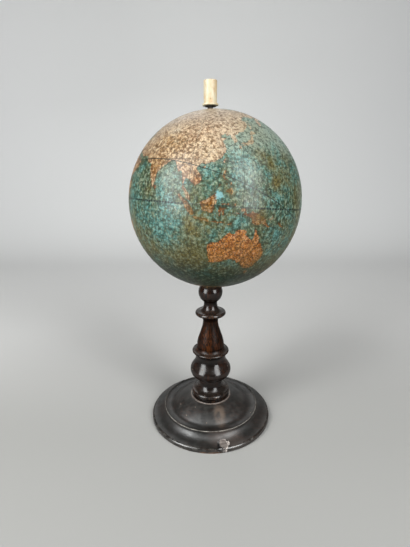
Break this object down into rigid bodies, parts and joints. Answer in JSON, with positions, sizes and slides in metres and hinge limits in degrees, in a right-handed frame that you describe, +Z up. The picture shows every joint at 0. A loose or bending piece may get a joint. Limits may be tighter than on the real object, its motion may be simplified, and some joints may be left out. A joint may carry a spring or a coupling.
{
  "type": "terrestrial globe",
  "caption": "Small terrestrial table globe with a paper map on a ball that turns on an upright rod, above a turned dark wooden stand, with a pale bone knob on top.",
  "frame": {"origin": "centre of the ring on which the foot rests, on the axis of the rod and the stand", "axes": "+Z up along the rod, -Y towards the viewer of the reference picture, +X to the viewer's right"},
  "size_m": [0.13, 0.13, 0.2751],
  "materials": {
    "ebonised_wood_foot": "worn satin varnish",
    "ebonised_wood_column": "polished, worn to brown on the vase",
    "iron": "dark oxidised",
    "brass": "tarnished",
    "plain_wood": "raw turned",
    "papier_mache": "matte",
    "seam_paper": "matte",
    "plaster": "smooth matte gesso",
    "map_paper": "printed, hand-coloured and varnished, aged",
    "bone": "polished turned bone",
    "dark_leather": "dull"
  },
  "bodies": {
    "stand": {"foot": "ebonised_wood_foot", "column": "ebonised_wood_column", "axis_rod": "iron"},
    "bearing": {"thrust_washer": "brass"},
    "globe": {"mast": "plain_wood", "north_hemisphere": "papier_mache", "south_hemisphere": "papier_mache", "seam_band": "seam_paper", "plaster_coat": "plaster", "gore_01": "map_paper", "gore_02": "map_paper", "gore_03": "map_paper", "gore_04": "map_paper", "gore_05": "map_paper", "gore_06": "map_paper", "gore_07": "map_paper", "gore_08": "map_paper", "gore_09": "map_paper", "gore_10": "map_paper", "gore_11": "map_paper", "gore_12": "map_paper", "north_calotte": "map_paper", "south_calotte": "map_paper"},
    "knob": {"knob": "bone", "knob_washer": "dark_leather"}
  },
  "joints": [
    {"name": "globe_spin", "type": "hinge", "parent": "stand", "child": "bearing", "pos_m": [0, 0, 0.1255], "axis": [0, 0, 1], "continuous": true},
    {"name": "globe_lift", "type": "slide", "parent": "bearing", "child": "globe", "axis": [0, 0, 1], "range_m": [0, 0.0015]},
    {"name": "knob_lift", "type": "slide", "parent": "stand", "child": "knob", "axis": [0, 0, 1], "range_m": [0, 0.02]}
  ]
}
